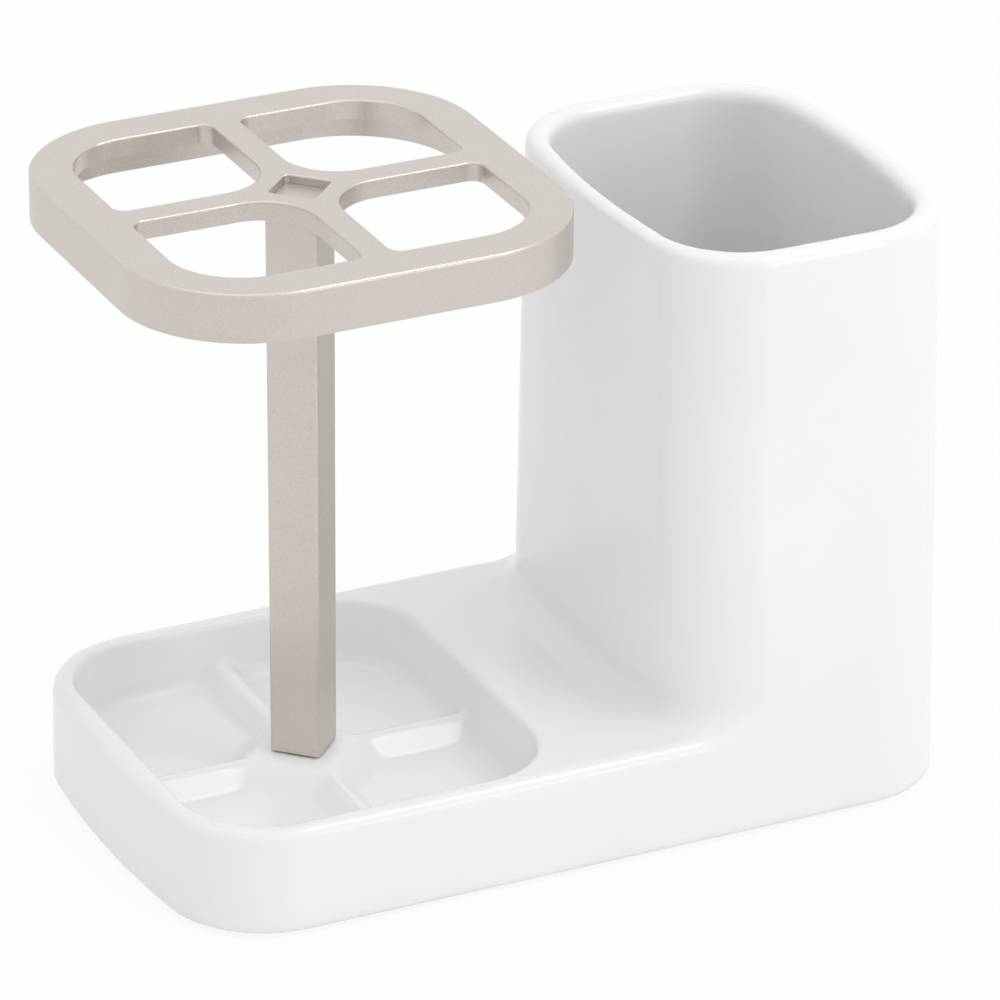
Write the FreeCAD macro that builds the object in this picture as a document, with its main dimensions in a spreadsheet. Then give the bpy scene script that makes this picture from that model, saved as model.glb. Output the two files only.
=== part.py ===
import FreeCAD, Part
import math
import os

import Sketcher
from FreeCAD import Vector

# Toothbrush holder: a glazed ceramic base with a tray and a cup, and a four-slot rack on a square post.
# Millimetres. Origin under the middle of the whole outline, on the surface it stands on, +X towards the
# cup, -Y towards the front, +Z up. Sketches are drawn from the middle of the base.

# Driving dimensions: name, value and what it measures.
SIZES = (
    ("base_length", 168, "outer length of the ceramic at its foot"),
    ("base_width", 94, "outer width of the ceramic at its foot"),
    ("base_corner", 21.2, "corner radius of the base in plan"),
    ("end_bow", 250, "plan radius of the gently bowed end walls"),
    ("end_draft_angle", 0.3, "lean of the end walls, narrower upwards"),
    ("side_draft_angle", 1.7, "lean of the front and back walls, narrower upwards"),
    ("foot_lift", 0.8, "gap between the ceramic and the surface it stands on"),
    ("bottom_edge", 1.2, "round of the ceramic's bottom edge"),
    ("deck_height", 22.5, "height of the flat deck"),
    ("deck_edge", 2.5, "round of the deck's outer edge"),
    ("cup_length", 66.5, "length of the cup at its foot, from the base's end"),
    ("cup_height", 121.7, "height of the cup's rim"),
    ("cup_corner", 20.4, "plan radius of the cup's corners above the deck"),
    ("cup_bow", 190, "plan radius of the cup's bowed wall above the deck"),
    ("cup_overlap", 0.35, "how far the cup's corner arcs run past the front and back walls"),
    ("cup_wall", 5, "thickness of the cup's wall"),
    ("cup_floor", 8, "height of the cup's inside floor"),
    ("cup_floor_round", 6, "round at the bottom of the cup's inside"),
    ("junction_round", 5.5, "hollow round where the cup rises from the deck"),
    ("tray_rim", 3.9, "width of the tray's rim along the front and back"),
    ("tray_end_rim", 5.5, "width of the tray's rim at the left end"),
    ("cup_land", 22, "flat deck between the tray's mouth and the cup's wall"),
    ("tray_corner", 17, "corner radius of the tray's mouth"),
    ("tray_floor", 9.4, "height of the compartments' floor"),
    ("tray_angle", 12, "slope of the tray's walls from upright"),
    ("tray_floor_round", 4, "round at the foot of the tray's walls"),
    ("tray_lip", 1.3, "round of the tray's lip"),
    ("hub_height", 14.6, "height of the platform under the post"),
    ("hub_side", 17.4, "side of the square platform"),
    ("hub_corner", 3, "corner radius of the platform"),
    ("hub_angle", 45, "slope of the platform's sides from upright"),
    ("hub_edge", 3.5, "round of the platform's edge"),
    ("rib_height", 13.9, "height of the ribs between the compartments"),
    ("rib_crest", 2, "width of the ribs' crest"),
    ("rib_edge", 0.6, "round of the crest's edges"),
    ("rib_foot", 2, "hollow round at the foot of the ribs and the platform"),
    ("rib_angle", 42, "slope of the ribs' sides from upright"),
    ("rib_root", 0.8, "how far ribs and platform are sunk into the casting"),
    ("screw_bore", 6.4, "hole through the platform for the clamp screw"),
    ("well_diameter", 18, "well under the platform for the screw head and washers"),
    ("well_roof", 8.2, "height of the well's roof"),
    ("rack_size", 90.8, "outer side of the rack"),
    ("rack_corner", 25.8, "outer corner radius of the rack"),
    ("rack_top", 133.7, "height of the rack's top face"),
    ("rack_skirt", 9.7, "height of the rack's skirt"),
    ("rack_plate", 3.9, "thickness of the rack's plate and bars"),
    ("skirt_wall", 3.2, "thickness of the rack's skirt"),
    ("rack_rim", 9.2, "width of the rack's rim outside the openings"),
    ("rack_edge", 0.7, "round of the rack's top outer edge"),
    ("bar_width", 5.9, "width of the bars between the openings"),
    ("opening_outer", 14.6, "radius of each opening's outer corner"),
    ("opening_hub", 11.3, "radius of each opening's corner at the hub"),
    ("opening_side", 2.6, "radius of each opening's other two corners"),
    ("opening_edge", 0.5, "round of the openings' top edges"),
    ("post_side", 10.3, "side of the square post at its foot"),
    ("post_corner", 0.8, "round of the post's long edges"),
    ("post_taper_angle", 0.085, "lean of the post's faces, wider upwards"),
    ("tenon_side", 9.4, "side of the post's square tenon in the rack"),
    ("tenon_corner", 1, "corner radius of the tenon"),
    ("tenon_fit", 0.05, "clearance round the tenon"),
    ("recess_depth", 1.8, "how far the tenon stays below the rack's top face"),
    ("recess_edge", 0.5, "round of the square recess's edge"),
    ("gasket_side", 9.2, "side of the gasket under the post"),
    ("gasket_thickness", 0.4, "thickness of the gasket"),
    ("screw_diameter", 5, "diameter of the clamp screw"),
    ("screw_reach", 14, "length of the screw inside the post"),
    ("screw_fit", 0.05, "clearance round the screw in the post"),
    ("tap_spare", 2, "depth of the tapped hole past the screw's end"),
    ("head_diameter", 9.5, "diameter of the screw's head"),
    ("head_height", 3, "height of the screw's head"),
    ("head_edge", 1, "round of the screw's head"),
    ("hex_socket", 4, "width of the screw's hexagon socket"),
    ("hex_depth", 2, "depth of the screw's hexagon socket"),
    ("washer_diameter", 12, "diameter of the steel washer"),
    ("washer_thickness", 1, "thickness of the steel washer"),
    ("washer_bore", 5.4, "hole in the washers and the gasket"),
    ("rubber_diameter", 15, "diameter of the rubber washer"),
    ("rubber_thickness", 1.5, "thickness of the rubber washer"),
    ("foot_diameter", 12, "diameter of the pads under the base"),
    ("foot_thickness", 1.6, "thickness of the pads"),
    ("foot_fit", 0.1, "clearance round the pads in their seats"),
    ("foot_edge", 0.4, "round of the pads' lower edge"),
    ("foot_inset", 22, "distance of the pads' middles from the base's sides and ends"),
)

# How near an edge lies to a place to count as there, and how much of a wall's half a full round takes.
NEAR = 0.01
ROUND_RATIO = 0.9

# Sizes that follow from the driving dimensions, as expressions.
BASE_END = "Sizes.base_length / 2"
BASE_SIDE = "Sizes.base_width / 2"
BELOW_DECK = "(Sizes.deck_height - Sizes.cup_wall)"
ABOVE_RIM = "(Sizes.cup_height + Sizes.cup_wall)"
RIM_OUTER = f"(min(Sizes.deck_edge; Sizes.cup_wall / 2) * {ROUND_RATIO})"
RIM_INNER = f"((Sizes.cup_wall - {RIM_OUTER}) * {ROUND_RATIO})"
POST_FOOT = "(Sizes.hub_height + Sizes.gasket_thickness)"
POST_TOP = "(Sizes.rack_top - Sizes.rack_plate)"
WASHER_TOP = "(Sizes.well_roof - Sizes.rubber_thickness)"
HEAD_TOP = f"({WASHER_TOP} - Sizes.washer_thickness)"
SCREW_TOP = f"({POST_FOOT} + Sizes.screw_reach)"


def end_at(height):
    """Half length of the casting at a height, where its end walls lean in."""
    return f"({BASE_END} - ({height} - Sizes.foot_lift) * tan(Sizes.end_draft_angle))"


def side_at(height):
    """Half width of the casting at a height, where its front and back walls lean in."""
    return f"({BASE_SIDE} - ({height} - Sizes.foot_lift) * tan(Sizes.side_draft_angle))"


def cup_left_at(height):
    """Place of the cup's wall above the deck, at a height."""
    return f"({BASE_END} - Sizes.cup_length + ({height} - Sizes.foot_lift) * tan(Sizes.end_draft_angle))"


# The tray fills the deck left of the cup, and the post and the rack stand over its middle.
TRAY_LEFT = f"(Sizes.tray_end_rim - {end_at('Sizes.deck_height')})"
TRAY_RIGHT = f"({cup_left_at('Sizes.deck_height')} - Sizes.cup_land)"
TRAY_HALF_X = f"(({TRAY_RIGHT} - {TRAY_LEFT}) / 2)"
TRAY_HALF_Y = f"({side_at('Sizes.deck_height')} - Sizes.tray_rim)"
POST_X = f"(({TRAY_LEFT} + {TRAY_RIGHT}) / 2)"

# The rack overhangs the left end, so the base's middle lies a little right of the origin.
BASE_X = f"((max(Sizes.rack_size / 2 - {POST_X}; {BASE_END}) - {BASE_END}) / 2)"

doc = FreeCAD.newDocument("toothbrush_holder")
sheet = doc.addObject("Spreadsheet::Sheet", "Sizes")
for row, (alias, number, note) in enumerate(SIZES, start=1):
    sheet.set(f"A{row}", alias)
    sheet.set(f"B{row}", str(number))
    sheet.set(f"C{row}", note)
    sheet.setAlias(f"B{row}", alias)
doc.recompute()


def value(expression):
    """The number that an expression has now."""
    found = sheet.evalExpression(expression.replace("Sizes.", ""))
    return float(getattr(found, "Value", found))


def new_body(label):
    """An empty body whose label is the piece's name."""
    body = doc.addObject("PartDesign::Body", label)
    body.Label = label
    return body


def place(body, x="0", y="0", z="0"):
    """Set a body at a place given from the middle of the base, on the ground."""
    for axis, expression in (("x", f"{BASE_X} + {x}"), ("y", y), ("z", z)):
        body.setExpression(f"Placement.Base.{axis}", expression)


def new_sketch(body, name, x="0", y="0", z="0", turn=0, plane="XY_Plane"):
    """A sketch on one of the body's own planes, moved and turned in that plane's frame."""
    sketch = body.newObject("Sketcher::SketchObject", name)
    support = next(item for item in body.Origin.OriginFeatures if item.Role == plane)
    sketch.AttachmentSupport = (support, [""])
    sketch.MapMode = "FlatFace"
    sketch.AttachmentOffset = FreeCAD.Placement(Vector(), FreeCAD.Rotation(Vector(0, 0, 1), turn))
    for axis, expression in (("x", x), ("y", y), ("z", z)):
        sketch.setExpression(f"AttachmentOffset.Base.{axis}", expression)
    return sketch


def bind(sketch, name, expression, kind, *places):
    """A dimension of the sketch, tied to an expression."""
    number = value(expression)
    if kind == "Angle":
        number = math.radians(number)
    index = sketch.addConstraint(Sketcher.Constraint(kind, *places, number))
    sketch.renameConstraint(index, name)
    sketch.setExpression(f"Constraints.{name}", expression)


def add_arc(sketch, x, y, radius, start, end):
    """An arc about (x, y), from one angle to another in radians."""
    circle = Part.Circle(Vector(x, y, 0), Vector(0, 0, 1), radius)
    return sketch.addGeometry(Part.ArcOfCircle(circle, start, end))


def add_line(sketch, start, end):
    """A straight line between two points."""
    return sketch.addGeometry(Part.LineSegment(Vector(*start, 0), Vector(*end, 0)))


def join_tangent(sketch, ring):
    """Join a ring of lines and arcs end to end, each tangent to the next."""
    for first, second in zip(ring, ring[1:] + ring[:1]):
        sketch.addConstraint(Sketcher.Constraint("Tangent", first, 2, second, 1))


def rounded_outline(sketch, half_x, half_y, corner):
    """A rectangle about the sketch's origin, with equal round corners."""
    a, b, r = value(half_x), value(half_y), value(corner)
    quarter = math.pi / 2
    front = add_line(sketch, (r - a, -b), (a - r, -b))
    front_right = add_arc(sketch, a - r, r - b, r, -quarter, 0)
    right = add_line(sketch, (a, r - b), (a, b - r))
    back_right = add_arc(sketch, a - r, b - r, r, 0, quarter)
    back = add_line(sketch, (a - r, b), (r - a, b))
    back_left = add_arc(sketch, r - a, b - r, r, quarter, 2 * quarter)
    left = add_line(sketch, (-a, b - r), (-a, r - b))
    front_left = add_arc(sketch, r - a, r - b, r, 2 * quarter, 3 * quarter)
    join_tangent(sketch, [front, front_right, right, back_right, back, back_left, left, front_left])
    for other in (back_right, back_left, front_left):
        sketch.addConstraint(Sketcher.Constraint("Equal", front_right, other))
    sketch.addConstraint(Sketcher.Constraint("Horizontal", front))
    sketch.addConstraint(Sketcher.Constraint("Symmetric", front, 1, back, 1, -1, 1))
    bind(sketch, "half_x", half_x, "DistanceX", -1, 1, right, 1)
    bind(sketch, "half_y", half_y, "DistanceY", -1, 1, back, 1)
    bind(sketch, "corner", corner, "Radius", front_right)


def bowed_outline(sketch, half_x, half_y, corner, bow):
    """A rounded rectangle about the sketch's origin, whose two ends are bowed outwards."""
    a, b, r, big = value(half_x), value(half_y), value(corner), value(bow)
    lean = math.asin((b - r) / (big - r))
    corner_x = a - big + (big - r) * math.cos(lean)
    quarter = math.pi / 2
    front = add_line(sketch, (-corner_x, -b), (corner_x, -b))
    front_right = add_arc(sketch, corner_x, r - b, r, -quarter, -lean)
    right = add_arc(sketch, a - big, 0, big, -lean, lean)
    back_right = add_arc(sketch, corner_x, b - r, r, lean, quarter)
    back = add_line(sketch, (corner_x, b), (-corner_x, b))
    back_left = add_arc(sketch, -corner_x, b - r, r, quarter, 2 * quarter - lean)
    left = add_arc(sketch, big - a, 0, big, 2 * quarter - lean, 2 * quarter + lean)
    front_left = add_arc(sketch, -corner_x, r - b, r, 2 * quarter + lean, 3 * quarter)
    join_tangent(sketch, [front, front_right, right, back_right, back, back_left, left, front_left])
    for other in (back_right, back_left, front_left):
        sketch.addConstraint(Sketcher.Constraint("Equal", front_right, other))
    sketch.addConstraint(Sketcher.Constraint("Equal", right, left))
    sketch.addConstraint(Sketcher.Constraint("Horizontal", back))
    sketch.addConstraint(Sketcher.Constraint("Symmetric", front, 1, back, 1, -1, 1))
    sketch.addConstraint(Sketcher.Constraint("Symmetric", front, 1, front, 2, -2))
    tip = sketch.addGeometry(Part.Point(Vector(a, 0, 0)), True)
    sketch.addConstraint(Sketcher.Constraint("PointOnObject", tip, 1, right))
    sketch.addConstraint(Sketcher.Constraint("PointOnObject", tip, 1, -1))
    bind(sketch, "half_x", half_x, "DistanceX", -1, 1, tip, 1)
    bind(sketch, "half_y", half_y, "DistanceY", -1, 1, back, 1)
    bind(sketch, "corner", corner, "Radius", front_right)
    bind(sketch, "bow", bow, "Radius", right)


def round_outline(sketch, name, diameter, x=None, y=None):
    """A circle, at the sketch's origin or at a place given by two expressions."""
    middle = Vector(value(x) if x else 0, value(y) if y else 0, 0)
    circle = sketch.addGeometry(Part.Circle(middle, Vector(0, 0, 1), value(diameter) / 2))
    bind(sketch, name, diameter, "Diameter", circle)
    if x is None:
        sketch.addConstraint(Sketcher.Constraint("Coincident", circle, 3, -1, 1))
    else:
        bind(sketch, name + "_x", x, "DistanceX", -1, 1, circle, 3)
        bind(sketch, name + "_y", y, "DistanceY", -1, 1, circle, 3)


def extrude(body, kind, sketch, name, length, taper="0", reverse=False, midplane=False):
    """A Pad or a Pocket of the sketch."""
    feature = body.newObject(f"PartDesign::{kind}", name)
    feature.Profile = sketch
    feature.setExpression("Length", length)
    feature.setExpression("TaperAngle", taper)
    feature.Reversed = reverse
    feature.Midplane = midplane
    doc.recompute()
    return feature


def loft(body, kind, lower, upper, name):
    """A straight-sided AdditiveLoft or SubtractiveLoft between two sketches."""
    feature = body.newObject(f"PartDesign::{kind}", name)
    feature.Profile = lower
    feature.Sections = [upper]
    feature.Ruled = True
    doc.recompute()
    return feature


def level_edges(feature, height, wanted=lambda edge: True):
    """Names of the feature's edges that lie flat at a height."""
    z = value(height)
    names = []
    for number, edge in enumerate(feature.Shape.Edges, start=1):
        box = edge.BoundBox
        flat = abs(box.ZMin - z) < NEAR and abs(box.ZMax - z) < NEAR
        if flat and wanted(edge):
            names.append(f"Edge{number}")
    return names


def fillet(body, feature, name, edges, radius):
    """Round the named edges of the body's last feature."""
    rounding = body.newObject("PartDesign::Fillet", name)
    rounding.Base = (feature, edges)
    rounding.setExpression("Radius", radius)
    doc.recompute()
    return rounding


def cup_surround():
    """A block round the place of the cup: what is cut from the tall casting to leave deck and cup."""
    reach = "Sizes.base_length"
    body = new_body("cup_surround")
    block = new_sketch(body, "surround_outline", z="Sizes.deck_height")
    rounded_outline(block, reach, reach, "Sizes.base_corner")
    extrude(body, "Pad", block, "surround_block", f"{ABOVE_RIM} - Sizes.deck_height")
    half_x = "Sizes.cup_length"
    ends = []
    for name, height in (("cup_low", BELOW_DECK), ("cup_high", f"({ABOVE_RIM} + Sizes.cup_wall)")):
        sketch = new_sketch(body, name, x=f"{cup_left_at(height)} + {half_x}", z=height)
        half_y = f"{side_at(height)} + Sizes.cup_overlap"
        bowed_outline(sketch, half_x, half_y, "Sizes.cup_corner", "Sizes.cup_bow")
        ends.append(sketch)
    hole = loft(body, "SubtractiveLoft", *ends, "cup_hole")
    inside = value(f"{reach} - Sizes.base_corner")

    def on_hole(edge):
        box = edge.BoundBox
        return max(abs(box.XMin), abs(box.XMax), abs(box.YMin), abs(box.YMax)) < inside

    fillet(body, hole, "junction", level_edges(hole, "Sizes.deck_height", on_hole), "Sizes.junction_round")
    return body


def cast_outside(body):
    """The casting's outer form: base, deck and the cup's outer walls."""
    ends = []
    for name, height in (("foot_outline", "Sizes.foot_lift"), ("rim_outline", "Sizes.cup_height")):
        sketch = new_sketch(body, name, z=height)
        bowed_outline(sketch, end_at(height), side_at(height), "Sizes.base_corner", "Sizes.end_bow")
        ends.append(sketch)
    loft(body, "AdditiveLoft", *ends, "tall_block")
    cut = body.newObject("PartDesign::Boolean", "deck_cut")
    cut.Type = "Cut"
    cut.addObjects([cup_surround()])
    doc.recompute()
    side = value(side_at("Sizes.deck_height"))
    left_part = value(cup_left_at("Sizes.deck_height")) - value("Sizes.cup_length") / 2

    def on_outer_wall(edge):
        box = edge.BoundBox
        along_side = abs(abs(box.YMin) - side) < NEAR and abs(box.YMax - box.YMin) < NEAR
        return along_side or box.XMax < left_part

    deck_edges = level_edges(cut, "Sizes.deck_height", on_outer_wall)
    deck = fillet(body, cut, "deck_round", deck_edges, "Sizes.deck_edge")
    return fillet(body, deck, "bottom_round", level_edges(deck, "Sizes.foot_lift"), "Sizes.bottom_edge")


def cup_inside(body):
    """The cup's hollow, its floor round and its full round rim."""
    corner = "max(Sizes.base_corner; Sizes.cup_corner) - Sizes.cup_wall"
    bow = "min(Sizes.end_bow; Sizes.cup_bow) - Sizes.cup_wall"
    ends = []
    for name, height in (("cup_bottom", "Sizes.cup_floor"), ("cup_mouth", ABOVE_RIM)):
        middle = f"({end_at(height)} + {cup_left_at(height)}) / 2"
        half_x = f"({end_at(height)} - {cup_left_at(height)}) / 2 - Sizes.cup_wall"
        half_y = f"{side_at(height)} - Sizes.cup_wall"
        sketch = new_sketch(body, name, x=middle, z=height)
        bowed_outline(sketch, half_x, half_y, corner, bow)
        ends.append(sketch)
    hollow = loft(body, "SubtractiveLoft", *ends, "cup_hollow")
    floor_edges = level_edges(hollow, "Sizes.cup_floor")
    floor = fillet(body, hollow, "cup_floor_fillet", floor_edges, "Sizes.cup_floor_round")
    reach = value(side_at("Sizes.cup_height")) - value("Sizes.cup_wall") / 2
    left = value(cup_left_at("Sizes.cup_height")) + value("Sizes.cup_wall") / 2
    right = value(end_at("Sizes.cup_height")) - value("Sizes.cup_wall") / 2

    def on_mouth(edge):
        box = edge.BoundBox
        return box.XMin > left and box.XMax < right and box.YMin > -reach and box.YMax < reach

    def on_outside(edge):
        return not on_mouth(edge)

    outside = level_edges(floor, "Sizes.cup_height", on_outside)
    outer = fillet(body, floor, "rim_outer_round", outside, RIM_OUTER)
    return fillet(body, outer, "rim_inner_round", level_edges(outer, "Sizes.cup_height", on_mouth), RIM_INNER)


def tray(body):
    """The sunk tray: its walls, floor and lip."""
    mouth = new_sketch(body, "tray_mouth", x=POST_X, z="Sizes.deck_height")
    rounded_outline(mouth, TRAY_HALF_X, TRAY_HALF_Y, "Sizes.tray_corner")
    depth = "Sizes.deck_height - Sizes.tray_floor"
    dish = extrude(body, "Pocket", mouth, "tray_dish", depth, "-Sizes.tray_angle")
    floor_edges = level_edges(dish, "Sizes.tray_floor")
    floor = fillet(body, dish, "tray_floor_fillet", floor_edges, "Sizes.tray_floor_round")
    lip_x = value(TRAY_HALF_X) + NEAR
    lip_y = value(TRAY_HALF_Y) + NEAR
    post_x = value(POST_X)

    def on_lip(edge):
        box = edge.BoundBox
        inside_x = box.XMin > post_x - lip_x and box.XMax < post_x + lip_x
        return inside_x and box.YMin > -lip_y and box.YMax < lip_y

    lip_edges = level_edges(floor, "Sizes.deck_height", on_lip)
    return fillet(body, floor, "tray_lip_round", lip_edges, "Sizes.tray_lip")


def platform(body):
    """The square platform under the post, with sloping sides."""
    half = "Sizes.hub_side / 2"
    outline = new_sketch(body, "hub_outline", x=POST_X, z="Sizes.hub_height", turn=45)
    rounded_outline(outline, half, half, "Sizes.hub_corner")
    depth = "Sizes.hub_height - Sizes.tray_floor + Sizes.rib_root"
    pad = extrude(body, "Pad", outline, "hub_block", depth, "Sizes.hub_angle", reverse=True)
    crown = fillet(body, pad, "hub_round", level_edges(pad, "Sizes.hub_height"), "Sizes.hub_edge")
    reach = value("Sizes.hub_side")
    post_x = value(POST_X)

    def on_foot(edge):
        box = edge.BoundBox
        return abs(box.Center.x - post_x) < reach and abs(box.Center.y) < reach

    return fillet(body, crown, "hub_foot", level_edges(crown, "Sizes.tray_floor", on_foot), "Sizes.rib_foot")


def rib(body, name, plane, half_length, **offset):
    """One straight rib across the tray: a crest with round edges, sloping sides and a hollow round foot."""
    sketch = new_sketch(body, name + "_profile", plane=plane, **offset)
    slope = math.radians(value("Sizes.rib_angle"))
    root = "Sizes.tray_floor - Sizes.rib_root"
    low, floor, top = value(root), value("Sizes.tray_floor"), value("Sizes.rib_height")
    edge, hollow = value("Sizes.rib_edge"), value("Sizes.rib_foot")
    corner_x = value("Sizes.rib_crest") / 2
    bend = math.tan((math.pi / 2 - slope) / 2)
    edge_x = corner_x - edge * bend
    foot_x = corner_x + (top - floor) * math.tan(slope) + hollow * bend
    quarter = math.pi / 2
    base = add_line(sketch, (-foot_x, low), (foot_x, low))
    right_root = add_line(sketch, (foot_x, low), (foot_x, floor))
    right_foot = add_arc(sketch, foot_x, floor + hollow, hollow, 2 * quarter + slope, 3 * quarter)
    right_edge = add_arc(sketch, edge_x, top - edge, edge, slope, quarter)
    right_side = add_line(sketch, (foot_x - hollow * math.cos(slope), floor + hollow * (1 - math.sin(slope))),
                          (edge_x + edge * math.cos(slope), top - edge * (1 - math.sin(slope))))
    crest = add_line(sketch, (edge_x, top), (-edge_x, top))
    left_edge = add_arc(sketch, -edge_x, top - edge, edge, quarter, 2 * quarter - slope)
    left_side = add_line(sketch, (-edge_x - edge * math.cos(slope), top - edge * (1 - math.sin(slope))),
                         (hollow * math.cos(slope) - foot_x, floor + hollow * (1 - math.sin(slope))))
    left_foot = add_arc(sketch, -foot_x, floor + hollow, hollow, -quarter, -slope)
    left_root = add_line(sketch, (-foot_x, floor), (-foot_x, low))
    for first, first_end, second, second_end in (
            (base, 2, right_root, 1), (right_root, 2, right_foot, 2),
            (left_foot, 1, left_root, 1), (left_root, 2, base, 1)):
        sketch.addConstraint(Sketcher.Constraint("Coincident", first, first_end, second, second_end))
    for first, first_end, second, second_end in (
            (right_foot, 1, right_side, 1), (right_side, 2, right_edge, 1), (right_edge, 2, crest, 1),
            (crest, 2, left_edge, 1), (left_edge, 2, left_side, 1), (left_side, 2, left_foot, 2)):
        sketch.addConstraint(Sketcher.Constraint("Tangent", first, first_end, second, second_end))
    sketch.addConstraint(Sketcher.Constraint("Symmetric", base, 1, base, 2, -2))
    sketch.addConstraint(Sketcher.Constraint("Symmetric", crest, 1, crest, 2, -2))
    for line in (right_root, left_root):
        sketch.addConstraint(Sketcher.Constraint("Vertical", line))
    for arc, arc_end in ((right_foot, 2), (left_foot, 1)):
        sketch.addConstraint(Sketcher.Constraint("DistanceX", arc, 3, arc, arc_end, 0))
    sketch.addConstraint(Sketcher.Constraint("Equal", right_foot, left_foot))
    sketch.addConstraint(Sketcher.Constraint("Equal", right_edge, left_edge))
    crest_line = "Sizes.rib_crest - 2 * Sizes.rib_edge * tan(45 - Sizes.rib_angle / 2)"
    bind(sketch, "root", root, "DistanceY", -1, 1, base, 1)
    bind(sketch, "floor", "Sizes.tray_floor", "DistanceY", -1, 1, right_root, 2)
    bind(sketch, "crest_height", "Sizes.rib_height", "DistanceY", -1, 1, crest, 1)
    bind(sketch, "crest_line", crest_line, "DistanceX", crest, 2, crest, 1)
    bind(sketch, "edge", "Sizes.rib_edge", "Radius", right_edge)
    bind(sketch, "foot", "Sizes.rib_foot", "Radius", right_foot)
    bind(sketch, "side_angle", "90 + Sizes.rib_angle", "Angle", right_side)
    return extrude(body, "Pad", sketch, name, f"2 * ({half_length})", midplane=True)


def underside(body):
    """The well and bore for the clamp screw, and the shallow seats of the four pads."""
    well = new_sketch(body, "well_outline", x=POST_X)
    round_outline(well, "well", "Sizes.well_diameter")
    extrude(body, "Pocket", well, "screw_well", "Sizes.well_roof", reverse=True)
    bore = new_sketch(body, "bore_outline", x=POST_X)
    round_outline(bore, "bore", "Sizes.screw_bore")
    extrude(body, "Pocket", bore, "screw_bore", "Sizes.deck_height", reverse=True)
    seats = new_sketch(body, "seat_outlines")
    for name, x, y in foot_places():
        round_outline(seats, name, "Sizes.foot_diameter + 2 * Sizes.foot_fit", x, y)
    return extrude(body, "Pocket", seats, "pad_seats", "Sizes.foot_thickness", reverse=True)


def foot_places():
    """Name and place of each pad."""
    x = f"({BASE_END} - Sizes.foot_inset)"
    y = f"({BASE_SIDE} - Sizes.foot_inset)"
    for depth_name, depth_sign in (("front", "-"), ("back", "")):
        for side_name, side_sign in (("left", "-"), ("right", "")):
            yield f"{depth_name}_{side_name}", side_sign + x, depth_sign + y


def make_ceramic_body():
    body = new_body("ceramic_body")
    cast_outside(body)
    cup_inside(body)
    tray(body)
    platform(body)
    rib(body, "rib_along", "YZ_Plane", f"{TRAY_HALF_X} + Sizes.rib_root", z=POST_X)
    rib(body, "rib_across", "XZ_Plane", f"{TRAY_HALF_Y} + Sizes.rib_root", x=POST_X)
    underside(body)
    place(body)
    return body


def opening_outline(sketch):
    """One brush opening: a square beside two bars, with its own radius at each kind of corner."""
    inner = "Sizes.bar_width / 2"
    outer = "Sizes.rack_size / 2 - Sizes.rack_rim"
    near, far = value(inner), value(outer)
    hub, side, big = (value(f"Sizes.opening_{corner}") for corner in ("hub", "side", "outer"))
    quarter = math.pi / 2
    low = add_line(sketch, (near + hub, near), (far - side, near))
    low_right = add_arc(sketch, far - side, near + side, side, -quarter, 0)
    right = add_line(sketch, (far, near + side), (far, far - big))
    top_right = add_arc(sketch, far - big, far - big, big, 0, quarter)
    top = add_line(sketch, (far - big, far), (near + side, far))
    top_left = add_arc(sketch, near + side, far - side, side, quarter, 2 * quarter)
    left = add_line(sketch, (near, far - side), (near, near + hub))
    low_left = add_arc(sketch, near + hub, near + hub, hub, 2 * quarter, 3 * quarter)
    join_tangent(sketch, [low, low_right, right, top_right, top, top_left, left, low_left])
    sketch.addConstraint(Sketcher.Constraint("Equal", low_right, top_left))
    for line in (low, top):
        sketch.addConstraint(Sketcher.Constraint("Horizontal", line))
    bind(sketch, "inner_x", inner, "DistanceX", -1, 1, left, 1)
    bind(sketch, "inner_y", inner, "DistanceY", -1, 1, low, 1)
    bind(sketch, "outer_x", outer, "DistanceX", -1, 1, right, 1)
    bind(sketch, "outer_y", outer, "DistanceY", -1, 1, top, 1)
    bind(sketch, "hub_corner", "Sizes.opening_hub", "Radius", low_left)
    bind(sketch, "side_corner", "Sizes.opening_side", "Radius", low_right)
    bind(sketch, "outer_corner", "Sizes.opening_outer", "Radius", top_right)


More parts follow.
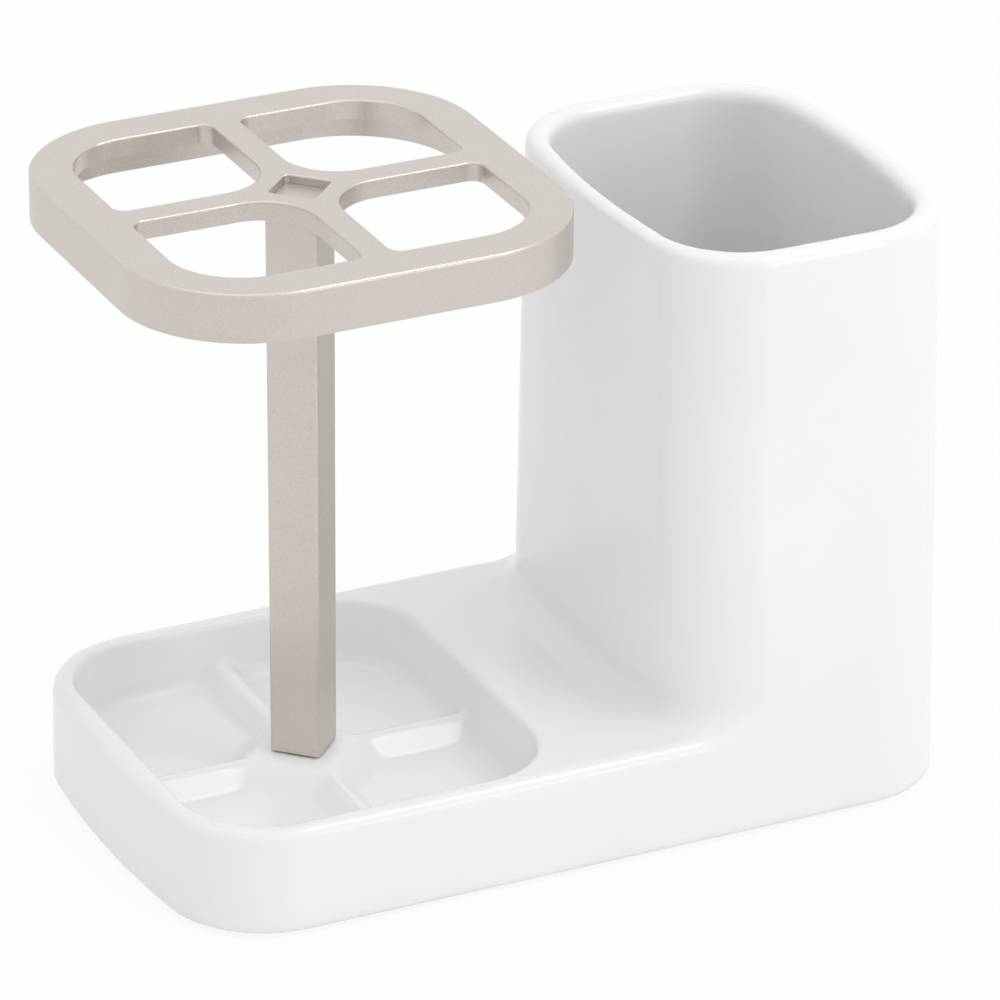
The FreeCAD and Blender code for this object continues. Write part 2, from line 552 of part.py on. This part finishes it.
def make_brush_rack():
    """The rack, drawn with its top face at zero: a skirted plate with four openings and a square socket."""
    body = new_body("brush_rack")
    half = "Sizes.rack_size / 2"
    outline = new_sketch(body, "rack_outline")
    rounded_outline(outline, half, half, "Sizes.rack_corner")
    extrude(body, "Pad", outline, "rack_block", "Sizes.rack_skirt", reverse=True)
    hollow = new_sketch(body, "skirt_inside", z="-Sizes.rack_plate")
    inside = f"{half} - Sizes.skirt_wall"
    rounded_outline(hollow, inside, inside, "Sizes.rack_corner - Sizes.skirt_wall")
    extrude(body, "Pocket", hollow, "skirt_hollow", "Sizes.rack_skirt")
    opening = new_sketch(body, "opening_outline")
    opening_outline(opening)
    slot = extrude(body, "Pocket", opening, "brush_opening", "Sizes.rack_skirt")
    pattern = body.newObject("PartDesign::PolarPattern", "four_openings")
    pattern.Originals = [slot]
    pattern.Axis = (opening, ["N_Axis"])
    pattern.Angle = 360
    pattern.Occurrences = 4
    body.Tip = pattern
    doc.recompute()
    socket = new_sketch(body, "socket_outline", turn=45)
    side = "Sizes.tenon_side / 2 + Sizes.tenon_fit"
    rounded_outline(socket, side, side, "Sizes.tenon_corner + Sizes.tenon_fit")
    hole = extrude(body, "Pocket", socket, "post_socket", "Sizes.rack_skirt")
    reach = value(half) - NEAR
    hub = value("Sizes.tenon_side")

    def on_outer_edge(edge):
        box = edge.BoundBox
        return max(abs(box.XMin), abs(box.XMax), abs(box.YMin), abs(box.YMax)) > reach

    def on_recess(edge):
        box = edge.BoundBox
        return max(abs(box.XMin), abs(box.XMax), abs(box.YMin), abs(box.YMax)) < hub

    def on_opening(edge):
        return not on_outer_edge(edge) and not on_recess(edge)

    outer = fillet(body, hole, "rack_round", level_edges(hole, "0", on_outer_edge), "Sizes.rack_edge")
    openings = fillet(body, outer, "opening_round", level_edges(outer, "0", on_opening), "Sizes.opening_edge")
    fillet(body, openings, "recess_round", level_edges(openings, "0", on_recess), "Sizes.recess_edge")
    place(body, POST_X, z="Sizes.rack_top")
    return body


def make_post():
    """The square post: a tapered bar with a tenon at its top and a tapped hole in its foot."""
    body = new_body("post")
    side = "Sizes.post_side / 2"
    foot = new_sketch(body, "post_foot", z=POST_FOOT, turn=45)
    rounded_outline(foot, side, side, "Sizes.post_corner")
    extrude(body, "Pad", foot, "post_bar", f"{POST_TOP} - {POST_FOOT}", "Sizes.post_taper_angle")
    tenon = new_sketch(body, "tenon_outline", z=POST_TOP, turn=45)
    rounded_outline(tenon, "Sizes.tenon_side / 2", "Sizes.tenon_side / 2", "Sizes.tenon_corner")
    extrude(body, "Pad", tenon, "tenon", "Sizes.rack_plate - Sizes.recess_depth")
    tapped = new_sketch(body, "tapped_outline", z=POST_FOOT)
    round_outline(tapped, "tap", "Sizes.screw_diameter + 2 * Sizes.screw_fit")
    depth = "Sizes.screw_reach + Sizes.tap_spare"
    extrude(body, "Pocket", tapped, "tapped_hole", depth, reverse=True)
    place(body, POST_X)
    return body


def make_post_gasket():
    body = new_body("post_gasket")
    outline = new_sketch(body, "gasket_outline", z="Sizes.hub_height", turn=45)
    half = "Sizes.gasket_side / 2"
    rounded_outline(outline, half, half, "Sizes.post_corner")
    round_outline(outline, "bore", "Sizes.washer_bore")
    extrude(body, "Pad", outline, "gasket", "Sizes.gasket_thickness")
    place(body, POST_X)
    return body


def make_clamp_screw():
    """The screw: a rounded head with a hexagon socket, and a plain shank."""
    body = new_body("clamp_screw")
    head = new_sketch(body, "head_outline", z=HEAD_TOP)
    round_outline(head, "head", "Sizes.head_diameter")
    block = extrude(body, "Pad", head, "head", "Sizes.head_height", reverse=True)
    head_foot = f"{HEAD_TOP} - Sizes.head_height"
    fillet(body, block, "head_round", level_edges(block, head_foot), "Sizes.head_edge")
    shank = new_sketch(body, "shank_outline", z=HEAD_TOP)
    round_outline(shank, "shank", "Sizes.screw_diameter")
    extrude(body, "Pad", shank, "shank", f"{SCREW_TOP} - {HEAD_TOP}")
    socket = new_sketch(body, "hex_outline", z=head_foot)
    hexagon_outline(socket, "Sizes.hex_socket")
    extrude(body, "Pocket", socket, "hex_socket", "Sizes.hex_depth", reverse=True)
    place(body, POST_X)
    return body


def hexagon_outline(sketch, across_flats):
    """A regular hexagon about the sketch's origin."""
    radius = value(across_flats) / math.sqrt(3)
    angles = [turn * math.pi / 3 for turn in range(6)]
    corners = [(radius * math.cos(angle), radius * math.sin(angle)) for angle in angles]
    sides = [add_line(sketch, corners[turn], corners[(turn + 1) % 6]) for turn in range(6)]
    ring = sketch.addGeometry(Part.Circle(Vector(), Vector(0, 0, 1), radius), True)
    sketch.addConstraint(Sketcher.Constraint("Coincident", ring, 3, -1, 1))
    for turn, line in enumerate(sides):
        sketch.addConstraint(Sketcher.Constraint("Coincident", line, 2, sides[(turn + 1) % 6], 1))
        sketch.addConstraint(Sketcher.Constraint("PointOnObject", line, 1, ring))
    for line in sides[1:]:
        sketch.addConstraint(Sketcher.Constraint("Equal", sides[0], line))
    sketch.addConstraint(Sketcher.Constraint("PointOnObject", sides[0], 1, -1))
    bind(sketch, "circle", f"2 * {across_flats} / sqrt(3)", "Diameter", ring)


def make_washer(label, bottom, diameter, thickness):
    """A flat ring round the screw."""
    body = new_body(label)
    outline = new_sketch(body, label + "_outline", z=bottom)
    round_outline(outline, "outside", diameter)
    round_outline(outline, "bore", "Sizes.washer_bore")
    extrude(body, "Pad", outline, label + "_ring", thickness)
    place(body, POST_X)
    return body


def make_foot(name, x, y):
    """One soft pad, standing on the ground and let into the ceramic."""
    label = "foot_" + name
    body = new_body(label)
    outline = new_sketch(body, label + "_outline")
    round_outline(outline, "pad", "Sizes.foot_diameter")
    pad = extrude(body, "Pad", outline, label + "_pad", "Sizes.foot_thickness")
    fillet(body, pad, label + "_round", level_edges(pad, "0"), "Sizes.foot_edge")
    place(body, x, y)
    return body


pieces = [
    make_ceramic_body(),
    make_brush_rack(),
    make_post(),
    make_post_gasket(),
    make_clamp_screw(),
    make_washer("steel_washer", HEAD_TOP, "Sizes.washer_diameter", "Sizes.washer_thickness"),
    make_washer("rubber_washer", WASHER_TOP, "Sizes.rubber_diameter", "Sizes.rubber_thickness"),
]
pieces += [make_foot(*spot) for spot in foot_places()]
doc.recompute()

for item in doc.Objects:
    if "Invalid" in item.State or "Error" in item.State:
        raise RuntimeError(f"{item.Label} failed: {item.State}")
for piece in pieces:
    if piece.Shape.isNull() or not piece.Shape.isValid():
        raise RuntimeError(f"{piece.Label} has no valid shape")

os.makedirs("parts", exist_ok=True)
for piece in pieces:
    piece.Shape.exportStep(f"parts/{piece.Label}.step")
    print(f"{piece.Label}: {len(piece.Shape.Solids)} solid, {piece.Shape.Volume:.1f} mm3")
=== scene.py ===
import math

import bmesh
import bpy
from mathutils import Matrix, Vector, kdtree


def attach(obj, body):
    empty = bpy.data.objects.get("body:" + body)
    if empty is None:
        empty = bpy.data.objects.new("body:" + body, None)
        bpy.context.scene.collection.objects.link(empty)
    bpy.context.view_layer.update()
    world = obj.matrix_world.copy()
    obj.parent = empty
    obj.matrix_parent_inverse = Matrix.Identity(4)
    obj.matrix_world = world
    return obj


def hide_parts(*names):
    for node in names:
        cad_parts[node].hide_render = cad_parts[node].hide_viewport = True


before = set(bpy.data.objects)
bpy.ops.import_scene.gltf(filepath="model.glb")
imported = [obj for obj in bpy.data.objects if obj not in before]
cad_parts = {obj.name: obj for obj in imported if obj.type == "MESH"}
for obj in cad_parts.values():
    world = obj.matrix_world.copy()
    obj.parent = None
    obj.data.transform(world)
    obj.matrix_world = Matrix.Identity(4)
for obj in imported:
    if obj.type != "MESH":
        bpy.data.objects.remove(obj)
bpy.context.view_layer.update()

# The photograph's camera: the way it looks, where it looks, and its lens in sensor widths.
AZIMUTH = math.radians(-25.79)
ELEVATION = math.radians(25.29)
ROLL = 0.0062
DISTANCE = 1.38194
TARGET = Vector((0.0028086, 0.0003874, 0.0591064))
SENSOR = 36.0
LENS_RATIO = 7.0281

# The glazed casting's smooth skin: the grid that it is drawn on, and the gap below which corners are one.
GRID_DEPTH = 8
GRID_SCALE = 0.95
WELD_GAP = 1e-6

# How the glaze softens creases above the underside: how far from them and how much, inner and outer.
CREASE_ANGLE = math.radians(14)
UNDERSIDE = 0.006
INNER_REACH = 0.005
INNER_SHARE = 1.0
OUTER_REACH = 0.002
OUTER_SHARE = 0.4
STEPS_PER_REACH = 4
SOFT_PASSES = 24
SOFT_FACTOR = 0.5

# Heights between which the glaze gives way to the bare foot.
GLAZED_FROM = 0.0011
BARE_BELOW = 0.0008

# Colours, as linear values.
WHITE = (1, 1, 1, 1)
GLAZE_WHITE = (0.91, 0.91, 0.91, 1)
GLAZE_SHADE = (0.885, 0.885, 0.88, 1)
BISQUE = (0.70, 0.67, 0.62, 1)
NICKEL = (0.68, 0.645, 0.60, 1)
NICKEL_DARK = (0.57, 0.53, 0.48, 1)
ZINC = (0.56, 0.57, 0.58, 1)
ZINC_DARK = (0.42, 0.43, 0.44, 1)
RUBBER = (0.035, 0.034, 0.033, 1)
RUBBER_WORN = (0.06, 0.058, 0.055, 1)
SILICONE = (0.72, 0.72, 0.70, 1)
SILICONE_DUSTY = (0.62, 0.61, 0.58, 1)
FLOOR_WHITE = (0.92, 0.92, 0.92, 1)

# Shares of roughness, from 0 for a mirror to 1.
GLAZE_ROUGHNESS = 0.2
BISQUE_ROUGHNESS = 0.8
RUBBER_ROUGHNESS = 0.6
SILICONE_ROUGHNESS = 0.45
DUST_ROUGHNESS = 0.15
FLOOR_ROUGHNESS = 0.9

# The floor: just under the pads, reaching far past the view, with a share of its shading left to see.
FLOOR_HEIGHT = -0.0001
FLOOR_REACH = 4.0
FLOOR_SHADE = 0.1

# The room's light: its brighter side, and its strength opposite that side and on it.
BRIGHT_SIDE = Vector((0.16, -0.19, 0.97)).normalized()
ROOM_DIM = 0.52
ROOM_BRIGHT = 0.9

# The lamps face one point. Each has a name, a place, a width and a power in watts.
LAMP_AIM = Vector((0, 0, 0.06))
LAMPS = (
    ("top_lamp", Vector((-0.12, 0.2, 1.3)), 0.8, 1.2),
    ("key_lamp", Vector((0.45, -0.47, 0.95)), 0.4, 1.9),
    ("low_lamp", Vector((0.5, -1.05, 0.2)), 0.35, 0.75),
)


class Nodes:
    """The node tree of a material or a world, with short ways to add nodes to it."""

    def __init__(self, owner, output):
        owner.use_nodes = True
        self.owner = owner
        self.tree = owner.node_tree
        self.tree.nodes.clear()
        self.output = self.add(output)

    def add(self, kind, **settings):
        node = self.tree.nodes.new(kind)
        for name, setting in settings.items():
            setattr(node, name, setting)
        return node

    def put(self, source, target):
        """Feed a socket from another one, or set it to a plain value."""
        if isinstance(source, bpy.types.NodeSocket):
            self.tree.links.new(source, target)
        else:
            target.default_value = source

    def fill(self, node, **sockets):
        """Feed or set a node's sockets by name, with _ for a space."""
        for name, source in sockets.items():
            self.put(source, node.inputs[name.replace("_", " ")])
        return node

    def surface(self, shader):
        self.put(shader.outputs[0], self.output.inputs["Surface"])

    def principled(self, **sockets):
        return self.fill(self.add("ShaderNodeBsdfPrincipled"), **sockets)

    def noise(self, scale, detail):
        """Noise over the object's own coordinates, in metres."""
        place = self.add("ShaderNodeTexCoord")
        noise = self.add("ShaderNodeTexNoise")
        self.fill(noise, Scale=scale, Detail=detail, Vector=place.outputs["Object"])
        return noise.outputs["Fac"]

    def spread(self, source, low, high, start=0.0, end=1.0):
        """A value that goes from start to end while the source goes from low to high."""
        spread = self.add("ShaderNodeMapRange")
        self.fill(spread, From_Min=low, From_Max=high, To_Min=start, To_Max=end, Value=source)
        return spread.outputs["Result"]

    def math(self, operation, first, second):
        node = self.add("ShaderNodeMath", operation=operation)
        self.put(first, node.inputs[0])
        self.put(second, node.inputs[1])
        return node.outputs[0]

    def mix(self, factor, first, second):
        """A blend of two colours. A mix node has sockets of one name for each kind of value it blends."""
        mix = self.add("ShaderNodeMix", data_type="RGBA")
        factor_socket, first_socket, second_socket = mix.inputs[0], mix.inputs[6], mix.inputs[7]
        self.put(factor, factor_socket)
        self.put(first, first_socket)
        self.put(second, second_socket)
        return mix.outputs[2]

    def bump(self, height, depth):
        """A bump of so many metres."""
        bump = self.fill(self.add("ShaderNodeBump"), Strength=1.0, Distance=depth, Height=height)
        return bump.outputs["Normal"]


def new_material(name):
    """An empty material's nodes."""
    return Nodes(bpy.data.materials.new(name), "ShaderNodeOutputMaterial")


def finish_material(nodes, **sockets):
    """The material of these nodes, with one principled shader fed by name."""
    nodes.surface(nodes.principled(**sockets))
    return nodes.owner


def glaze_material():
    """White glaze: a clear skin with a faint ripple over a white body, and a bare bisque underside."""
    nodes = new_material("white_glaze")
    tint = nodes.spread(nodes.noise(scale=22, detail=3), low=0.35, high=0.65)
    white = nodes.mix(tint, GLAZE_WHITE, GLAZE_SHADE)
    place = nodes.add("ShaderNodeNewGeometry")
    split = nodes.fill(nodes.add("ShaderNodeSeparateXYZ"), Vector=place.outputs["Position"])
    bare = nodes.spread(split.outputs["Z"], low=GLAZED_FROM, high=BARE_BELOW)
    return finish_material(
        nodes,
        IOR=1.55,
        Base_Color=nodes.mix(bare, white, BISQUE),
        Roughness=nodes.spread(bare, low=0, high=1, start=GLAZE_ROUGHNESS, end=BISQUE_ROUGHNESS),
        Normal=nodes.bump(nodes.noise(scale=90, detail=2), depth=0.00006),
    )


def nickel_material():
    """Satin nickel finish: fine bright flakes in a warm grey metal."""
    nodes = new_material("satin_nickel")
    flake = nodes.noise(scale=5200, detail=1)
    cloud = nodes.noise(scale=45, detail=3)
    return finish_material(
        nodes,
        Metallic=0.85,
        Base_Color=nodes.mix(nodes.spread(flake, low=0.3, high=0.7), NICKEL_DARK, NICKEL),
        Roughness=nodes.spread(cloud, low=0.35, high=0.65, start=0.3, end=0.38),
        Normal=nodes.bump(flake, depth=0.00002),
    )


def zinc_material():
    """Zinc-plated steel of the screw and its washer."""
    nodes = new_material("zinc_plate")
    spangle = nodes.noise(scale=700, detail=4)
    return finish_material(
        nodes,
        Metallic=1.0,
        Base_Color=nodes.mix(nodes.spread(spangle, low=0.35, high=0.65), ZINC_DARK, ZINC),
        Roughness=nodes.spread(spangle, low=0.3, high=0.7, start=0.25, end=0.42),
        Normal=nodes.bump(spangle, depth=0.00002),
    )


def soft_material(name, colour, worn, roughness):
    """Rubber or silicone: a matt grain with worn, dusty patches."""
    nodes = new_material(name)
    patch = nodes.noise(scale=180, detail=4)
    grain = nodes.noise(scale=3000, detail=2)
    return finish_material(
        nodes,
        IOR=1.45,
        Base_Color=nodes.mix(nodes.spread(patch, low=0.4, high=0.7), colour, worn),
        Roughness=nodes.spread(patch, low=0.3, high=0.7, start=roughness, end=roughness + DUST_ROUGHNESS),
        Normal=nodes.bump(grain, depth=0.00004),
    )


def dress(obj, material):
    """Give an object one material all over."""
    obj.data.materials.clear()
    obj.data.materials.append(material)


def add_object(name, data):
    """A new object in the scene."""
    obj = bpy.data.objects.new(name, data)
    bpy.context.scene.collection.objects.link(obj)
    return obj


def welded(mesh):
    """An editable copy of a mesh with the corners that lie in one place made one."""
    work = bmesh.new()
    work.from_mesh(mesh)
    bmesh.ops.remove_doubles(work, verts=work.verts, dist=WELD_GAP)
    return work


def crease_tree(mesh, outer, step):
    """The points along a mesh's outer or inner creases above its underside, to find the nearest of."""
    work = welded(mesh)
    points = []
    for edge in work.edges:
        if len(edge.link_faces) != 2 or edge.is_convex != outer or edge.calc_face_angle() < CREASE_ANGLE:
            continue
        start, end = (vertex.co for vertex in edge.verts)
        if min(start.z, end.z) < UNDERSIDE:
            continue
        steps = max(1, math.ceil((end - start).length / step))
        points += [start.lerp(end, index / steps) for index in range(steps + 1)]
    work.free()
    tree = kdtree.KDTree(len(points))
    for index, point in enumerate(points):
        tree.insert(point, index)
    tree.balance()
    return tree


def apply_modifiers(obj):
    """Turn the object's modifiers into its mesh."""
    result = bpy.data.meshes.new_from_object(obj.evaluated_get(bpy.context.evaluated_depsgraph_get()))
    obj.modifiers.clear()
    obj.data = result


def draw_skin(casting):
    """Redraw the casting's mesh on an even grid."""
    work = welded(casting.data)
    work.to_mesh(casting.data)
    work.free()
    skin = casting.modifiers.new("skin", "REMESH")
    skin.mode = "SMOOTH"
    skin.octree_depth = GRID_DEPTH
    skin.scale = GRID_SCALE
    apply_modifiers(casting)


def soften(casting, inner, outer):
    """Smooth the casting near the creases, the more the nearer they are."""
    group = casting.vertex_groups.new(name="soft")
    for vertex in casting.data.vertices:
        inner_weight = INNER_SHARE * (1 - inner.find(vertex.co)[2] / INNER_REACH)
        outer_weight = OUTER_SHARE * (1 - outer.find(vertex.co)[2] / OUTER_REACH)
        weight = max(inner_weight, outer_weight)
        if weight > 0:
            group.add([vertex.index], weight, "REPLACE")
    smooth = casting.modifiers.new("soften", "SMOOTH")
    smooth.vertex_group = group.name
    smooth.factor = SOFT_FACTOR
    smooth.iterations = SOFT_PASSES
    apply_modifiers(casting)
    casting.data.polygons.foreach_set("use_smooth", [True] * len(casting.data.polygons))


def glazed_casting():
    """The ceramic with its creases softened, as a coat of glaze does."""
    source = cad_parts["ceramic_body"]
    inner = crease_tree(source.data, False, INNER_REACH / STEPS_PER_REACH)
    outer = crease_tree(source.data, True, OUTER_REACH / STEPS_PER_REACH)
    casting = add_object("glazed_casting", source.data.copy())
    draw_skin(casting)
    soften(casting, inner, outer)
    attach(casting, "root")
    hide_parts("ceramic_body")
    return casting


def make_camera():
    """The camera, at the photograph's place and turn."""
    back = Vector((
        math.sin(AZIMUTH) * math.cos(ELEVATION),
        -math.cos(AZIMUTH) * math.cos(ELEVATION),
        math.sin(ELEVATION),
    ))
    right = Vector((math.cos(AZIMUTH), math.sin(AZIMUTH), 0))
    up = back.cross(right)
    turned_right = math.cos(ROLL) * right + math.sin(ROLL) * up
    turned_up = math.cos(ROLL) * up - math.sin(ROLL) * right
    data = bpy.data.cameras.new("photo_camera")
    data.sensor_width = SENSOR
    data.lens = LENS_RATIO * SENSOR
    camera = add_object("photo_camera", data)
    turn = Matrix((turned_right, turned_up, back)).transposed().to_4x4()
    camera.matrix_world = Matrix.Translation(TARGET + DISTANCE * back) @ turn
    bpy.context.scene.camera = camera


def seen_as_white(nodes, lit, white, shade):
    """Show white to camera, mirror and glass rays, with a share of the lit look kept for its shadow."""
    path = nodes.add("ShaderNodeLightPath")
    seen = path.outputs["Is Camera Ray"]
    for ray in ("Is Glossy Ray", "Is Transmission Ray"):
        seen = nodes.math("MAXIMUM", seen, path.outputs[ray])
    mix = nodes.add("ShaderNodeMixShader")
    sources = (nodes.math("MULTIPLY", seen, 1 - shade), lit.outputs[0], white.outputs[0])
    for source, target in zip(sources, mix.inputs):
        nodes.put(source, target)
    nodes.surface(mix)


def make_floor():
    """A plain pale floor."""
    mesh = bpy.data.meshes.new("floor")
    turns = ((-1, -1), (1, -1), (1, 1), (-1, 1))
    corners = [(FLOOR_REACH * x, FLOOR_REACH * y, FLOOR_HEIGHT) for x, y in turns]
    mesh.from_pydata(corners, [], [range(len(corners))])
    floor = add_object("floor", mesh)
    nodes = new_material("floor_white")
    lit = nodes.principled(Base_Color=FLOOR_WHITE, Roughness=FLOOR_ROUGHNESS)
    seen_as_white(nodes, lit, nodes.add("ShaderNodeEmission"), FLOOR_SHADE)
    dress(floor, nodes.owner)


def make_room():
    """A pale room that lights the object from all sides, most from its brighter one."""
    nodes = Nodes(bpy.data.worlds.new("studio"), "ShaderNodeOutputWorld")
    place = nodes.add("ShaderNodeTexCoord")
    side = nodes.add("ShaderNodeVectorMath", operation="DOT_PRODUCT")
    nodes.put(place.outputs["Generated"], side.inputs[0])
    nodes.put(BRIGHT_SIDE, side.inputs[1])
    level = nodes.spread(side.outputs["Value"], low=-1, high=1, start=ROOM_DIM, end=ROOM_BRIGHT)
    room = nodes.fill(nodes.add("ShaderNodeBackground"), Color=WHITE, Strength=level)
    white = nodes.fill(nodes.add("ShaderNodeBackground"), Color=WHITE, Strength=1.0)
    seen_as_white(nodes, room, white, shade=0)
    bpy.context.scene.world = nodes.owner


def make_lamp(name, place, width, power):
    """A soft square lamp."""
    data = bpy.data.lights.new(name, "AREA")
    data.shape = "SQUARE"
    data.size = width
    data.energy = power
    lamp = add_object(name, data)
    lamp.location = place
    lamp.rotation_mode = "QUATERNION"
    lamp.rotation_quaternion = (LAMP_AIM - place).to_track_quat("-Z", "Y")


bpy.context.scene.view_settings.view_transform = "Standard"
make_camera()
dress(glazed_casting(), glaze_material())
nickel = nickel_material()
zinc = zinc_material()
rubber = soft_material("dark_rubber", RUBBER, RUBBER_WORN, RUBBER_ROUGHNESS)
silicone = soft_material("clear_silicone", SILICONE, SILICONE_DUSTY, SILICONE_ROUGHNESS)
finishes = {
    "brush_rack": nickel,
    "post": nickel,
    "post_gasket": rubber,
    "clamp_screw": zinc,
    "steel_washer": zinc,
    "rubber_washer": rubber,
}
for name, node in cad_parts.items():
    if name.startswith("foot_"):
        dress(node, silicone)
    elif name in finishes:
        dress(node, finishes[name])
make_floor()
make_room()
for lamp in LAMPS:
    make_lamp(*lamp)
